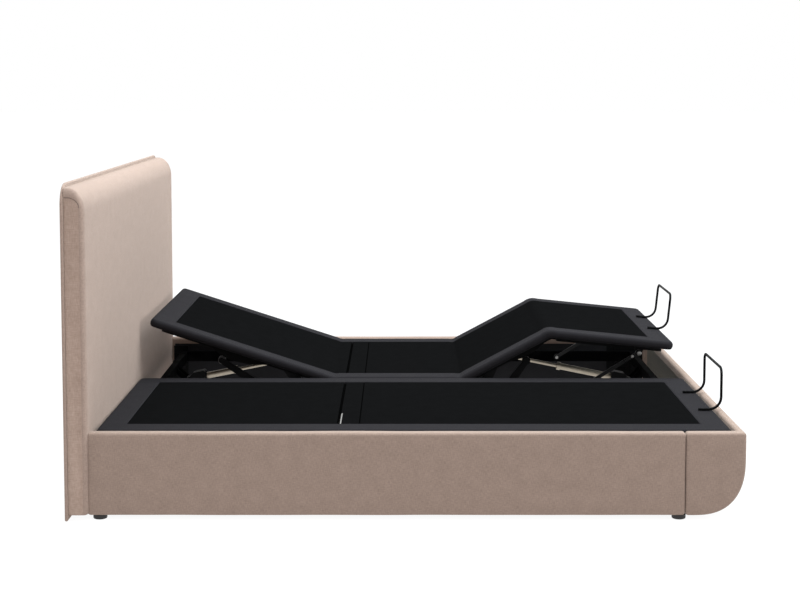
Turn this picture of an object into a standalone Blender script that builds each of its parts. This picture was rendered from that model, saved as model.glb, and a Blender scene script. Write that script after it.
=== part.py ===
"""Adjustable bed: an upholstered surround with two independent adjustable decks.

Metres, +Z up. The origin is on the floor under the middle of the bed. -X is the head end,
+X the foot end, -Y the near side and +Y the far side. Each deck is drawn flat in the frames
of its own pivots, and the pivots are then turned to the pose of the deck.
"""

from math import asin, atan2, cos, hypot, pi, radians, sin

import bmesh
import bpy
from mathutils import Matrix, Vector

# ---- driving dimensions -------------------------------------------------------------
DECK_TOP = 0.273
DECK_WIDTH = 0.898
DECK_CENTRE_Y = 0.454
DECK_HEAD_X = -0.972
DECK_FOOT_X = 1.024
BOARD_THICK = 0.030
PIVOT_DROP = 0.016
KNEE_DROP = 0.034
FOLD_GAP = 0.011

BACK_HINGE_X = -0.264
THIGH_HINGE_X = 0.208
THIGH_LENGTH = 0.363
FOOT_LENGTH = DECK_FOOT_X - THIGH_HINGE_X - THIGH_LENGTH
BACK_LENGTH = BACK_HINGE_X - DECK_HEAD_X

BACK_MAX = radians(60)
THIGH_MAX = radians(45)
KNEE_RATIO = 1.204

POSES = {
    "near": {"sign": -1, "back": 0.0, "thigh": 0.0},
    "far": {"sign": 1, "back": radians(18.0), "thigh": radians(28.1)},
}

# surround
RAIL_OUTER_Y = 0.953
RAIL_INNER_Y = 0.912
RAIL_HEAD_X = -0.9817
RAIL_FOOT_X = 0.869
RAIL_BOTTOM = 0.0145
RAIL_TOP = 0.2745
RAIL_ROUND = 0.010
FOOTBOARD_OUTER_X = 1.056
FOOTBOARD_INNER_X = 1.031
CURVE_CENTRE_X = 0.898
CURVE_CENTRE_Z = 0.193
CURVE_POWER = 2.5

HEADBOARD_BACK_X = -1.056
HEADBOARD_PANEL = 0.010
HEADBOARD_HALF = 0.970
HEADBOARD_TOP = 1.048
HEADBOARD_ROUND = 0.070
PAD_FRONT_X = -0.982
PAD_HALF = 0.962
PAD_TOP = 1.036
PAD_ROUND_DEEP = 0.056
PAD_ROUND_TALL = 0.076

FOOT_RADIUS = 0.022
FEET_X = (-0.953, 0.8525)
FEET_Y = 0.926

# steel
TOUCH = 0.0003
WALL = 0.002
FRAME_Y = 0.352
FRAME_WIDE = 0.025
FRAME_TALL = 0.020
FRAME_TOP = BOARD_THICK - PIVOT_DROP + TOUCH
EAR_THICK = 0.004
PIN_RADIUS = 0.004
BASE_Y = 0.420
BASE_TOP = DECK_TOP - BOARD_THICK - FRAME_TALL - 3 * TOUCH
BASE_TALL = 0.040
BASE_HEAD_X = -0.940
BASE_FOOT_X = 0.975
CROSS_X = (-0.925, -0.235, 0.180, 0.960)

BEAM_HALF = 0.042

ROLLER_RADIUS = 0.015
ROLLER_WIDE = 0.016
TRACK_MIN = 0.0014
CONTACT = FRAME_TOP + FRAME_TALL + TRACK_MIN + TOUCH
ROLLER_DEPTH = CONTACT + ROLLER_RADIUS + 0.0005
ARM_Y = 0.3645
ARM_THICK = 0.006
SHAFT_RADIUS = 0.013
DRIVE_OFFSET = 0.120

# Each lift: `run` is the way its board points from its hinge. The shaft and motor places are
# measured from the hinge pivot, along `run` and up. The crank leans towards `run` when flat.
# The last four values carry the actuator: its rise when flat, how much it turns and how far
# its rod slides for each radian of the board, and its length when flat.
LIFTS = {
    "head": {
        "run": -1, "hinge_x": BACK_HINGE_X, "max": BACK_MAX, "shaft": (0.168, -0.104),
        "arm": 0.301, "crank": 0.115, "lean": radians(63), "motor": (0.608, -0.098),
        "tube_end": 0.205, "rise": radians(10.202), "turn_ratio": 0.066,
        "rod_ratio": 0.136, "length": 0.3372, "rollers": True,
    },
    "leg": {
        "run": 1, "hinge_x": THIGH_HINGE_X, "max": THIGH_MAX, "shaft": (0.120, -0.109),
        "arm": 0.212, "crank": 0.137, "lean": radians(65), "motor": (0.700, -0.102),
        "tube_end": 0.300, "rise": radians(7.632), "turn_ratio": 0.138,
        "rod_ratio": 0.160, "length": 0.4543, "rollers": False,
    },
}
EYE_HALF_X = 0.0106
EYE_HALF_Z = 0.0186

LINK_BASE = (0.430, -0.0505)
LINK_LENGTH = 0.274
LINK_RISE = radians(0.5)
LINK_RATIO = 1.12
LINK_Y = 0.3725
LINK_PIN = (0.340, -0.046)

BAR_RADIUS = 0.0045
BAR_HALF = 0.150
BAR_START = 0.398
BAR_UPRIGHT = 0.473
BAR_BEND = 0.040
BAR_TOP_BEND = 0.022
BAR_HEIGHT = 0.142

PIVOT_Z = DECK_TOP - PIVOT_DROP
COLLECTION = "adjustable_bed"


# ---- Blender helpers ----------------------------------------------------------------
def clear_scene():
    for obj in list(bpy.data.objects):
        bpy.data.objects.remove(obj, do_unlink=True)
    for old in list(bpy.data.collections):
        bpy.data.collections.remove(old)
    made = bpy.data.collections.new(COLLECTION)
    bpy.context.scene.collection.children.link(made)
    cutters = bpy.data.collections.new("cutters")
    bpy.context.scene.collection.children.link(cutters)
    return made


def material(name, colour, roughness, metallic=0.0):
    made = bpy.data.materials.new(name)
    made.use_nodes = True
    shader = made.node_tree.nodes["Principled BSDF"]
    shader.inputs["Base Color"].default_value = (*colour, 1.0)
    shader.inputs["Roughness"].default_value = roughness
    shader.inputs["Metallic"].default_value = metallic
    return made


def add_object(name, data, finish, parent=None):
    obj = bpy.data.objects.new(name, data)
    bpy.data.collections[COLLECTION].objects.link(obj)
    if not data.materials:
        data.materials.append(finish)
    obj.parent = parent
    return obj


def pivot(name, place, turn_y=0.0, parent=None):
    empty = bpy.data.objects.new(name, None)
    bpy.data.collections[COLLECTION].objects.link(empty)
    empty.location = place
    empty.rotation_euler = (0.0, turn_y, 0.0)
    empty.parent = parent
    return empty


def mesh_from(build):
    """A mesh made by a function that fills a bmesh."""
    mesh = bpy.data.meshes.new("shape")
    bm = bmesh.new()
    build(bm)
    bm.to_mesh(mesh)
    bm.free()
    return mesh


def box(low, high):
    """A box between two corners."""
    low, high = Vector(low), Vector(high)

    def build(bm):
        bmesh.ops.create_cube(bm, size=1.0)
        for vert in bm.verts:
            vert.co = Vector(
                [(low[i] + high[i]) / 2 + vert.co[i] * (high[i] - low[i]) for i in range(3)]
            )

    return mesh_from(build)


def cylinder(start, end, radius, sides=14):
    """A round bar from one point to another."""
    start, end = Vector(start), Vector(end)
    along = end - start

    def build(bm):
        bmesh.ops.create_cone(
            bm, cap_ends=True, segments=sides, radius1=radius, radius2=radius, depth=along.length
        )
        turn = along.to_track_quat("Z", "Y").to_matrix().to_4x4()
        turn.translation = (start + end) / 2
        bmesh.ops.transform(bm, matrix=turn, verts=bm.verts)

    mesh = mesh_from(build)
    smooth(mesh)
    return mesh


def smooth(mesh, angle=40):
    mesh.shade_smooth()
    mesh.set_sharp_from_angle(angle=radians(angle))


def evaluated(obj):
    """The finished mesh of an object, which is then removed."""
    graph = bpy.context.evaluated_depsgraph_get()
    mesh = bpy.data.meshes.new_from_object(obj.evaluated_get(graph))
    mesh.transform(obj.matrix_world)
    bm = bmesh.new()
    bm.from_mesh(mesh)
    bmesh.ops.remove_doubles(bm, verts=bm.verts, dist=0.00001)
    bm.to_mesh(mesh)
    bm.free()
    data = obj.data
    bpy.data.objects.remove(obj, do_unlink=True)
    if isinstance(data, bpy.types.Curve):
        bpy.data.curves.remove(data)
    return mesh


def plate(outline, low, high, holes=(), across="y"):
    """A flat outline given as (x, z) points, or (y, z) across x, extruded from low to high."""
    curve = bpy.data.curves.new("outline", "CURVE")
    curve.dimensions = "2D"
    curve.fill_mode = "BOTH"
    curve.extrude = (high - low) / 2
    for ring in (outline, *holes):
        spline = curve.splines.new("POLY")
        spline.points.add(len(ring) - 1)
        for point, (u, v) in zip(spline.points, ring):
            point.co = (u, v, 0.0, 1.0)
        spline.use_cyclic_u = True
    obj = bpy.data.objects.new("outline", curve)
    bpy.context.scene.collection.objects.link(obj)
    middle = (low + high) / 2
    if across == "y":
        obj.rotation_euler = (pi / 2, 0.0, 0.0)
        obj.location = (0.0, middle, 0.0)
    else:
        obj.rotation_euler = (pi / 2, 0.0, pi / 2)
        obj.location = (middle, 0.0, 0.0)
    bpy.context.view_layer.update()
    mesh = evaluated(obj)
    smooth(mesh, 30)
    return mesh


def rod(points, radius, resolution=2):
    """A bent round rod along a list of points."""
    curve = bpy.data.curves.new("rod", "CURVE")
    curve.dimensions = "3D"
    curve.bevel_depth = radius
    curve.bevel_resolution = resolution
    curve.use_fill_caps = True
    spline = curve.splines.new("POLY")
    spline.points.add(len(points) - 1)
    for point, place in zip(spline.points, points):
        point.co = (*place, 1.0)
    obj = bpy.data.objects.new("rod", curve)
    bpy.context.scene.collection.objects.link(obj)
    bpy.context.view_layer.update()
    mesh = evaluated(obj)
    smooth(mesh)
    return mesh


def turned(profile, centre, axis="y", steps=20):
    """A closed (radius, along) profile turned about the Y or Z axis through `centre`."""
    mesh = bpy.data.meshes.new("profile")
    count = len(profile)
    mesh.from_pydata(
        [(radius, 0.0, along) for radius, along in profile],
        [(i, (i + 1) % count) for i in range(count)],
        [],
    )
    obj = bpy.data.objects.new("profile", mesh)
    bpy.context.scene.collection.objects.link(obj)
    screw = obj.modifiers.new("turn", "SCREW")
    screw.steps = steps
    screw.render_steps = steps
    screw.merge_threshold = 0.00001
    screw.use_merge_vertices = True
    if axis == "y":
        obj.rotation_euler = (-pi / 2, 0.0, 0.0)
    obj.location = centre
    bpy.context.view_layer.update()
    made = evaluated(obj)
    smooth(made)
    return made


def tube(low, high, wall=WALL):
    """A square tube along X, open at both ends, in the box between two corners."""
    outer = [(low[1], low[2]), (high[1], low[2]), (high[1], high[2]), (low[1], high[2])]
    inner = [
        (low[1] + wall, low[2] + wall), (high[1] - wall, low[2] + wall),
        (high[1] - wall, high[2] - wall), (low[1] + wall, high[2] - wall),
    ]
    return plate(outer, low[0], high[0], holes=(inner,), across="x")


def channel(x, low_y, high_y, low_z, high_z, wall=WALL):
    """A channel along Y, open below, centred on an X place."""
    half = FRAME_WIDE / 2
    outline = [
        (x - half, low_z), (x - half, high_z), (x + half, high_z), (x + half, low_z),
        (x + half - wall, low_z), (x + half - wall, high_z - wall),
        (x - half + wall, high_z - wall), (x - half + wall, low_z),
    ]
    return plate(outline, low_y, high_y)


def arc(centre, radius, first, last, steps):
    """Points on a circle, with angles in radians."""
    return [
        (
            centre[0] + radius * cos(first + (last - first) * i / steps),
            centre[1] + radius * sin(first + (last - first) * i / steps),
        )
        for i in range(steps + 1)
    ]


def circle(centre, radius, sides=14):
    return arc(centre, radius, 0.0, 2 * pi, sides)[:-1]


def rounded_bar(start, start_radius, end, end_radius, steps=8):
    """The outline round two circles, as of a lever with round ends."""
    heading = atan2(end[1] - start[1], end[0] - start[0])
    span = hypot(end[0] - start[0], end[1] - start[1])
    lean = asin((start_radius - end_radius) / span)
    side = pi / 2 - lean
    return arc(end, end_radius, heading - side, heading + side, steps) + arc(
        start, start_radius, heading + side, heading + 2 * pi - side, steps
    )


def welded(meshes):
    """Several overlapping meshes united into one body."""
    objects = []
    for mesh in meshes:
        obj = bpy.data.objects.new("weld", mesh)
        bpy.context.scene.collection.objects.link(obj)
        objects.append(obj)
    base = objects[0]
    for other in objects[1:]:
        union = base.modifiers.new("weld", "BOOLEAN")
        union.operation = "UNION"
        union.object = other
    bpy.context.view_layer.update()
    made = evaluated(base)
    for other in objects[1:]:
        bpy.data.objects.remove(other, do_unlink=True)
    smooth(made, 30)
    return made


def bevel(obj, width, segments=1):
    made = obj.modifiers.new("rounded", "BEVEL")
    made.width = width
    made.segments = segments
    made.limit_method = "ANGLE"
    made.angle_limit = radians(50)
    return obj


def span(side, centre, inner, outer):
    """The low and high Y of something between two distances from a centre line."""
    ends = sorted((centre + side * inner, centre + side * outer))
    return ends[0], ends[1]


# ---- the surround -------------------------------------------------------------------
def side_profile(inset=0.0, steps=12):
    """The footboard's lower outer curve, from its widest point down to its underside."""
    half_x = FOOTBOARD_OUTER_X - CURVE_CENTRE_X - inset
    half_z = CURVE_CENTRE_Z - RAIL_BOTTOM - inset
    points = []
    for i in range(steps + 1):
        angle = pi / 2 * i / steps
        points.append((
            CURVE_CENTRE_X + half_x * cos(angle) ** (2 / CURVE_POWER),
            CURVE_CENTRE_Z - half_z * sin(angle) ** (2 / CURVE_POWER),
        ))
    return points


def make_headboard(fabric):
    low, high = -HEADBOARD_HALF, HEADBOARD_HALF
    top, radius = HEADBOARD_TOP, HEADBOARD_ROUND
    outline = [(low, 0.0), (high, 0.0)]
    outline += arc((high - radius, top - radius), radius, 0.0, pi / 2, 6)
    outline += arc((low + radius, top - radius), radius, pi / 2, pi, 6)
    front = HEADBOARD_BACK_X + HEADBOARD_PANEL
    panel = plate(outline, HEADBOARD_BACK_X, front, across="x")
    bevel(add_object("headboard_back_panel", panel, fabric), 0.004, 2)

    back = front + TOUCH
    side = [(back, RAIL_BOTTOM + 0.001), (PAD_FRONT_X, RAIL_BOTTOM + 0.001)]
    side += [
        (PAD_FRONT_X - PAD_ROUND_DEEP * (1 - u), PAD_TOP - PAD_ROUND_TALL * (1 - v))
        for u, v in arc((0.0, 0.0), 1.0, 0.0, pi / 2, 10)
    ]
    side.append((back, PAD_TOP))
    pad = plate(side, -PAD_HALF, PAD_HALF)
    add_object("headboard_pad", pad, fabric)


def make_rails(fabric):
    for name, sign in (("near", -1), ("far", 1)):
        low, high = span(sign, 0.0, RAIL_INNER_Y, RAIL_OUTER_Y)
        rail = box((RAIL_HEAD_X, low, RAIL_BOTTOM), (RAIL_FOOT_X, high, RAIL_TOP))
        bevel(add_object(name + "_side_rail", rail, fabric), RAIL_ROUND, 2)


def make_footboard(fabric):
    outer = side_profile()
    inner = side_profile(inset=FOOTBOARD_OUTER_X - FOOTBOARD_INNER_X)
    top_round = arc((FOOTBOARD_OUTER_X - 0.015, RAIL_TOP - 0.012), 0.012, 0.0, pi / 2, 3)
    front = [(FOOTBOARD_INNER_X, RAIL_TOP)] + inner + outer[::-1] + top_round
    add_object(
        "footboard_front", plate(front, -RAIL_INNER_Y + TOUCH, RAIL_INNER_Y - TOUCH), fabric
    )
    start = RAIL_FOOT_X + 2 * TOUCH
    ends = [(start, RAIL_BOTTOM)] + outer[::-1] + top_round + [(start, RAIL_TOP)]
    for name, sign in (("near", -1), ("far", 1)):
        low, high = span(sign, 0.0, RAIL_INNER_Y, RAIL_OUTER_Y)
        add_object(name + "_footboard_side", plate(ends, low, high), fabric)


def make_feet(plastic):
    top, radius, edge = RAIL_BOTTOM - TOUCH, FOOT_RADIUS, 0.004
    profile = [(0.0, top), (radius, top), (radius, edge)]
    profile += [(radius - edge * 0.3, edge * 0.3), (radius - edge, 0.0), (0.0, 0.0)]
    for deck, side in (("near", -1), ("far", 1)):
        for end, x in zip(("head", "foot"), FEET_X):
            foot = turned_solid(profile, (x, side * FEET_Y, 0.0))
            add_object(deck + "_" + end + "_foot", foot, plastic)


def turned_solid(profile, centre, steps=20):
    """A profile that starts and ends on the Z axis, turned about it."""
    mesh = bpy.data.meshes.new("profile")
    mesh.from_pydata(
        [(radius, 0.0, along) for radius, along in profile],
        [(i, i + 1) for i in range(len(profile) - 1)],
        [],
    )
    obj = bpy.data.objects.new("profile", mesh)
    bpy.context.scene.collection.objects.link(obj)
    screw = obj.modifiers.new("turn", "SCREW")
    screw.steps = steps
    screw.render_steps = steps
    screw.merge_threshold = 0.00001
    screw.use_merge_vertices = True
    obj.location = centre
    bpy.context.view_layer.update()
    made = evaluated(obj)
    smooth(made)
    return made


def make_centre_support(steel):
    top = BASE_TOP - BASE_TALL - TOUCH
    bottom = top - 0.050
    low = (PAD_FRONT_X + 0.003, -BEAM_HALF, bottom)
    high = (FOOTBOARD_INNER_X - 0.035, BEAM_HALF, top)
    pieces = [tube(low, high)]
    for x in (-0.45, 0.05, 0.55):
        pieces.append(cylinder((x, 0.0, 0.0), (x, 0.0, bottom + WALL / 2), 0.020))
    add_object("centre_beam", welded(pieces), steel)


def make_corner_brackets(steel):
    """Slotted uprights on the rails, each with a shelf under a base frame."""
    shelf_top = BASE_TOP - BASE_TALL - TOUCH
    thick, wide = 0.004, 0.060
    for end, x in (("head", -0.974), ("foot", 0.893)):
        outline = [(x, 0.066), (x + wide, 0.066), (x + wide, 0.240), (x, 0.240)]
        slots = []
        for i in range(5):
            z = 0.078 + 0.032 * i
            slots.append([
                (x + 0.012, z), (x + 0.048, z), (x + 0.048, z + 0.010), (x + 0.012, z + 0.010)
            ])
        for deck, side in (("near", -1), ("far", 1)):
            face = RAIL_INNER_Y - TOUCH
            upright = plate(outline, *span(side, 0.0, face - thick, face), holes=slots)
            low, high = span(side, 0.0, 0.861, face - thick / 2)
            shelf = box((x, low, shelf_top - thick), (x + wide, high, shelf_top))
            add_object(deck + "_" + end + "_bracket", welded([upright, shelf]), steel)


def make_control_box(plastic):
    top = BASE_TOP - BASE_TALL - 0.004
    shell = box((-0.09, -0.190, top - 0.038), (0.07, -BEAM_HALF - 0.001, top))
    bevel(add_object("control_box", shell, plastic), 0.005, 2)


# ---- one deck -----------------------------------------------------------------------
def board(name, start, end, centre, finish, parent, drop=PIVOT_DROP):
    """A padded board between two X places of its hinge frame, its top above the pivot."""
    half = DECK_WIDTH / 2
    low = (min(start, end), centre - half, drop - BOARD_THICK)
    high = (max(start, end), centre + half, drop)
    return bevel(add_object(name, box(low, high), finish, parent), 0.005)


def frame_tube(x_start, x_end, side, centre):
    low_y, high_y = span(side, centre, FRAME_Y - FRAME_WIDE / 2, FRAME_Y + FRAME_WIDE / 2)
    x_low, x_high = sorted((x_start, x_end))
    return tube((x_low, low_y, -FRAME_TOP - FRAME_TALL), (x_high, high_y, -FRAME_TOP))


def frame_cross(x, centre):
    """A channel let into the inner walls of a frame's side tubes."""
    reach = FRAME_Y - FRAME_WIDE / 2 + WALL / 2
    low_z, high_z = -FRAME_TOP - FRAME_TALL + WALL / 4, -FRAME_TOP - WALL / 4
    return channel(x, centre - reach, centre + reach, low_z, high_z)


def ear(origin_x, run, side, centre, outer, sunk):
    """An L-shaped hinge plate whose round nose stands between two boards.

    An outer ear carries the hinge pin, and an inner one turns on it.
    """
    nose = 0.0075
    leg_top = min(-FRAME_TOP - 0.002, -sunk - 0.001)
    leg_bottom = -FRAME_TOP - 0.018
    heel = run * nose
    if run > 0:
        top = arc((origin_x, -sunk), nose, 0.0, pi, 6)
    else:
        top = arc((origin_x, -sunk), nose, pi, 0.0, 6)
    outline = top + [
        (origin_x - heel, leg_bottom), (origin_x + run * 0.060, leg_bottom),
        (origin_x + run * 0.060, leg_top), (origin_x + heel, leg_top),
    ]
    face = FRAME_WIDE / 2 - WALL / 4
    if not outer:
        low, high = span(side, centre, FRAME_Y - face - EAR_THICK, FRAME_Y - face)
        hole = circle((origin_x, -sunk), PIN_RADIUS + 0.0005, 12)
        return [plate(outline, low, high, holes=(hole,))]
    low, high = span(side, centre, FRAME_Y + face, FRAME_Y + face + EAR_THICK)
    inner_end = FRAME_Y - face - EAR_THICK
    pin = [centre + side * y for y in (FRAME_Y + face + 0.001, inner_end - 0.002)]
    head = [centre + side * y for y in (inner_end - 0.0006, inner_end - 0.0036)]
    return [
        plate(outline, low, high),
        cylinder((origin_x, pin[0], -sunk), (origin_x, pin[1], -sunk), PIN_RADIUS, 12),
        cylinder((origin_x, head[0], -sunk), (origin_x, head[1], -sunk), 0.0072, 6),
    ]


def ears(origin_x, run, centre, outer, sunk=0.0):
    return [
        piece for side in (-1, 1) for piece in ear(origin_x, run, side, centre, outer, sunk)
    ]


def arm_rise(lift, theta):
    """The arm's rise above level at which its roller meets the straight frame."""
    along, up = lift["shaft"]
    reach = -ROLLER_DEPTH + along * sin(theta) - up * cos(theta)
    return asin(reach / lift["arm"]) + theta


def arm_ratio(lift):
    """Turn of the lift shaft for each turn of the board, over the whole range."""
    return (arm_rise(lift, lift["max"]) - arm_rise(lift, 0.0)) / lift["max"]


def track_outline(lift):
    """The curved track under a side tube, met by the roller at every angle of the board.

    The roller's centre runs on a curve in the board's frame, and the track stands off that
    curve by the roller's radius.
    """
    along, up = lift["shaft"]
    flat, ratio, steps = arm_rise(lift, 0.0), arm_ratio(lift), 10
    middle = []
    for i in range(-1, steps + 2):
        theta = lift["max"] * i / steps
        rise = flat + ratio * theta
        x = along + lift["arm"] * cos(rise)
        z = up + lift["arm"] * sin(rise)
        middle.append(Vector((cos(theta) * x + sin(theta) * z, cos(theta) * z - sin(theta) * x)))
    off = ROLLER_RADIUS + 0.0006
    contact = []
    for before, here, after in zip(middle, middle[1:], middle[2:]):
        heading = (after - before).normalized()
        point = here + off * Vector((heading.y, -heading.x))
        contact.append((point.x, min(point.y, -CONTACT)))
    top = -FRAME_TOP - FRAME_TALL + WALL / 2
    first, last = contact[0], contact[-1]
    outline = [(first[0] + 0.006, -CONTACT), (first[0] + 0.006, top)]
    outline += [(last[0] - 0.006, top), (last[0] - 0.006, -CONTACT)] + contact[::-1]
    return [(lift["run"] * x, z) for x, z in outline]


def tracks(lift, centre):
    half = ROLLER_WIDE / 2
    return [
        plate(track_outline(lift), *span(side, centre, FRAME_Y - half, FRAME_Y + half))
        for side in (-1, 1)
    ]


def make_base(deck, centre, drive, steel):
    """The welded frame: tubes, the seat's supports, bearings, motor ears and link pins."""
    bottom = BASE_TOP - BASE_TALL
    half = FRAME_WIDE / 2
    pieces = []
    for side in (-1, 1):
        low, high = span(side, centre, BASE_Y - half, BASE_Y + half)
        pieces.append(tube((BASE_HEAD_X, low, bottom), (BASE_FOOT_X, high, BASE_TOP)))
    reach = BASE_Y - half + WALL / 2
    for x in CROSS_X:
        top = BASE_TOP - WALL / 4 if x in (CROSS_X[0], CROSS_X[-1]) else BASE_TOP + 4 * TOUCH
        pieces.append(channel(x, centre - reach, centre + reach, bottom + WALL / 4, top))
    pieces += seat_supports(centre)
    for lift in LIFTS.values():
        pieces += shaft_bearings(lift, centre) + motor_ears(lift, drive)
    pieces += link_pins(centre)
    add_object(deck + "_base_frame", welded(pieces), steel)


def seat_supports(centre):
    """Two tubes under the seat board, with the ears and pins of the back and thigh hinges."""
    length = THIGH_HINGE_X - BACK_HINGE_X
    pieces = [frame_tube(0.020, length - 0.020, side, centre) for side in (-1, 1)]
    pieces += ears(0.0, 1, centre, outer=True) + ears(length, -1, centre, outer=True)
    for mesh in pieces:
        mesh.transform(Matrix.Translation((BACK_HINGE_X, 0.0, PIVOT_Z)))
    return pieces


def shaft_bearings(lift, centre):
    x = lift["hinge_x"] + lift["run"] * lift["shaft"][0]
    z = PIVOT_Z + lift["shaft"][1]
    outline = [(x + 0.024, BASE_TOP - 0.001), (x - 0.024, BASE_TOP - 0.001)]
    outline += arc((x, z), 0.024, pi, 2 * pi, 8)
    hole = circle((x, z), SHAFT_RADIUS + 0.0006, 16)
    face = BASE_Y - FRAME_WIDE / 2 + WALL / 4
    return [
        plate(outline, *span(side, centre, face - 0.005, face), holes=(hole,))
        for side in (-1, 1)
    ]


def motor_ears(lift, drive):
    """Two ears with a pin between them, on the cross channel behind a motor."""
    run = lift["run"]
    x = lift["hinge_x"] + run * lift["motor"][0]
    z = PIVOT_Z + lift["motor"][1]
    cross = CROSS_X[0] if run < 0 else CROSS_X[-1]
    root = cross - run * (FRAME_WIDE / 2 - WALL / 4)
    rooted = [(root, BASE_TOP - BASE_TALL + 0.003), (root, BASE_TOP - 0.014)]
    outline = arc((x, z), 0.013, pi / 2, 3 * pi / 2, 8) + rooted
    if run < 0:
        outline = arc((x, z), 0.013, -pi / 2, pi / 2, 8) + rooted[::-1]
    made = [
        plate(outline, *span(side, drive, 0.0245, 0.0295)) for side in (-1, 1)
    ]
    made.append(cylinder((x, drive - 0.034, z), (x, drive + 0.034, z), 0.005, 14))
    return made


def link_pins(centre):
    """Headed pins on the side tubes, on which the foot links turn."""
    x, z = THIGH_HINGE_X + LINK_BASE[0], PIVOT_Z + LINK_BASE[1]
    face = BASE_Y - FRAME_WIDE / 2 + WALL / 4
    made = []
    for side in (-1, 1):
        steps = ((face, LINK_Y + 0.0040, 0.0110, 14), (face, LINK_Y - 0.0065, 0.0050, 14),
                 (LINK_Y - 0.0045, LINK_Y - 0.0070, 0.0085, 6))
        for start, end, radius, sides in steps:
            made.append(cylinder(
                (x, centre + side * start, z), (x, centre + side * end, z), radius, sides
            ))
    return made


def make_seat(deck, centre, cloth, parent):
    """The fixed middle board, in the frame of the back hinge."""
    length = THIGH_HINGE_X - BACK_HINGE_X
    board(deck + "_seat_board", FOLD_GAP, length - FOLD_GAP, centre, cloth, parent)


def make_back(deck, centre, steel, cloth, parent):
    board(deck + "_back_board", -FOLD_GAP, -BACK_LENGTH, centre, cloth, parent)
    far_end = -BACK_LENGTH + 0.045
    pieces = [frame_tube(-0.020, far_end, side, centre) for side in (-1, 1)]
    pieces += ears(0.0, -1, centre, outer=False) + tracks(LIFTS["head"], centre)
    pieces += [frame_cross(-0.090, centre), frame_cross(far_end + 0.020, centre)]
    add_object(deck + "_back_frame", welded(pieces), steel, parent)


def make_thigh(deck, centre, steel, cloth, parent):
    length = THIGH_LENGTH
    board(deck + "_thigh_board", FOLD_GAP, length - FOLD_GAP, centre, cloth, parent)
    pieces = [frame_tube(0.020, length - 0.030, side, centre) for side in (-1, 1)]
    pieces += ears(0.0, 1, centre, outer=False)
    pieces += ears(length, -1, centre, outer=True, sunk=KNEE_DROP - PIVOT_DROP)
    pieces += tracks(LIFTS["leg"], centre)
    pieces += [frame_cross(0.090, centre), frame_cross(length - 0.055, centre)]
    add_object(deck + "_thigh_frame", welded(pieces), steel, parent)


def make_foot(deck, centre, steel, cloth, parent):
    """The foot section, in the frame of the knee pins, which lie lower than the others."""
    lift = KNEE_DROP - PIVOT_DROP
    board(deck + "_foot_board", FOLD_GAP, FOOT_LENGTH, centre, cloth, parent, KNEE_DROP)
    far_end = FOOT_LENGTH - 0.030
    pieces = [frame_tube(0.030, far_end, side, centre) for side in (-1, 1)]
    pieces += ears(0.0, 1, centre, outer=False, sunk=lift)
    pieces += [frame_cross(0.085, centre), frame_cross(far_end - 0.020, centre)]
    x, z = LINK_PIN
    face = FRAME_Y + FRAME_WIDE / 2 - WALL / 4
    tab = [(x + 0.020, -FRAME_TOP - 0.001), (x - 0.020, -FRAME_TOP - 0.001)]
    tab += arc((x, z), 0.012, pi, 2 * pi, 6)
    for side in (-1, 1):
        pieces.append(plate(tab, *span(side, centre, face, face + 0.0045)))
        shank = [centre + side * y for y in (face + 0.002, LINK_Y + 0.0065)]
        head = [centre + side * y for y in (LINK_Y + 0.0045, LINK_Y + 0.0085)]
        pieces.append(cylinder((x, shank[0], z), (x, shank[1], z), PIN_RADIUS, 12))
        pieces.append(cylinder((x, head[0], z), (x, head[1], z), 0.0115, 6))
    for mesh in pieces:
        mesh.transform(Matrix.Translation((0.0, 0.0, lift)))
    add_object(deck + "_foot_frame", welded(pieces), steel, parent)


def make_links(deck, sign, centre, steel, parent):
    """The struts that hold the foot section, in the frame of their base pins."""
    end = (LINK_LENGTH * cos(LINK_RISE), LINK_LENGTH * sin(LINK_RISE))
    gap = asin(0.0065 / 0.0115)
    outline = arc((0.0, 0.0), 0.0115, LINK_RISE + gap, LINK_RISE + 2 * pi - gap, 12)
    outline += arc(end, 0.0115, LINK_RISE + pi + gap, LINK_RISE + 3 * pi - gap, 12)
    holes = (circle((0.0, 0.0), 0.0056), circle(end, 0.0078))
    for side in (-1, 1):
        low, high = span(side, centre, LINK_Y - 0.003, LINK_Y + 0.003)
        strut = plate(outline, low, high, holes=holes)
        add_object(deck + "_foot_link_" + where(side, sign), strut, steel, parent)


def where(side, sign):
    """Whether a side of a deck faces the middle of the bed or its rail."""
    return "outer" if side == sign else "inner"


def make_retainer(deck, centre, steel, parent):
    """A bent rod that stops the mattress at the foot end."""
    low = KNEE_DROP + BAR_RADIUS + 0.0006
    top = KNEE_DROP + BAR_HEIGHT
    side = [(BAR_START, low)]
    side += arc((BAR_UPRIGHT - BAR_BEND, low + BAR_BEND), BAR_BEND, -pi / 2, 0.0, 6)
    corner = arc((BAR_HALF - BAR_TOP_BEND, top - BAR_TOP_BEND), BAR_TOP_BEND, 0.0, pi / 2, 4)
    half = [(x, BAR_HALF, z) for x, z in side] + [(BAR_UPRIGHT, y, z) for y, z in corner]
    path = half + [(x, -y, z) for x, y, z in half[::-1]]
    bar = rod([(x, centre + y, z) for x, y, z in path], BAR_RADIUS, 2)
    add_object(deck + "_retainer_bar", bar, steel, parent)


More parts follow.
